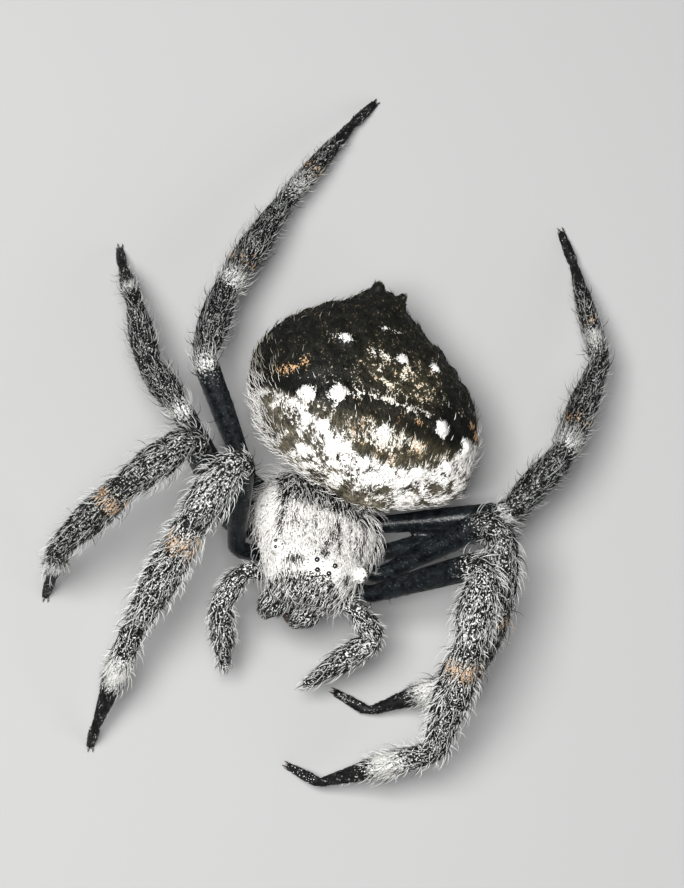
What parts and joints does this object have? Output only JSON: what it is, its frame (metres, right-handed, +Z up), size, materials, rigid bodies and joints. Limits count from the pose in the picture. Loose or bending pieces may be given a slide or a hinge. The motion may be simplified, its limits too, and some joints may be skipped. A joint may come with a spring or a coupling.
{
  "type": "orb weaver spider",
  "caption": "Hairy female bark spider, an orb weaver, resting on a level surface with its head and front knees raised and its feelers held forward",
  "frame": {"origin": "on the floor under the middle of the outline", "axes": "+Z up, +Y from head to abdomen, +X to the spider's left"},
  "size_m": [0.0284, 0.0388, 0.0136],
  "materials": {
    "carapace": "grey-brown cuticle under a dense coat of white hair that lies flat",
    "abdomen": "olive-brown and white mottled cuticle with short white hair",
    "underside": "dark dull cuticle with sparse hair",
    "femur": "blue-black cuticle with a soft shine and sparse hair",
    "leg": "dark grey cuticle under pale grey hair, with tan and white bands",
    "tarsus": "blackish cuticle with short dark hair",
    "eye": "black glossy lens",
    "fang": "dark brown polished cuticle"
  },
  "bodies": {
    "root": {"abdomen": "abdomen", "carapace": "carapace", "eye_median_front_left": "eye", "eye_median_front_right": "eye", "eye_median_rear_left": "eye", "eye_median_rear_right": "eye", "eye_side_front_left": "eye", "eye_side_front_right": "eye", "eye_side_rear_left": "eye", "eye_side_rear_right": "eye", "fang_left": "fang", "fang_right": "fang", "jaw_left": "leg", "jaw_right": "leg", "left_leg_1_femur": "femur", "left_leg_1_metatarsus": "leg", "left_leg_1_patella": "leg", "left_leg_1_tarsus": "tarsus", "left_leg_1_tibia": "leg", "left_leg_2_femur": "femur", "left_leg_2_metatarsus": "leg", "left_leg_2_patella": "leg", "left_leg_2_tarsus": "tarsus", "left_leg_2_tibia": "leg", "left_leg_3_femur": "femur", "left_leg_3_metatarsus": "leg", "left_leg_3_patella": "leg", "left_leg_3_tarsus": "tarsus", "left_leg_3_tibia": "leg", "left_leg_4_femur": "femur", "left_leg_4_metatarsus": "leg", "left_leg_4_patella": "leg", "left_leg_4_tarsus": "tarsus", "left_leg_4_tibia": "leg", "left_palp_lower": "leg", "left_palp_upper": "leg", "right_leg_1_femur": "femur", "right_leg_1_metatarsus": "leg", "right_leg_1_patella": "leg", "right_leg_1_tarsus": "tarsus", "right_leg_1_tibia": "leg", "right_leg_2_femur": "femur", "right_leg_2_metatarsus": "leg", "right_leg_2_patella": "leg", "right_leg_2_tarsus": "tarsus", "right_leg_2_tibia": "leg", "right_leg_3_femur": "femur", "right_leg_3_metatarsus": "leg", "right_leg_3_patella": "leg", "right_leg_3_tarsus": "tarsus", "right_leg_3_tibia": "leg", "right_leg_4_femur": "femur", "right_leg_4_metatarsus": "leg", "right_leg_4_patella": "leg", "right_leg_4_tarsus": "tarsus", "right_leg_4_tibia": "leg", "right_palp_lower": "leg", "right_palp_upper": "leg", "spinnerets": "underside", "sternum": "underside"}
  },
  "joints": []
}
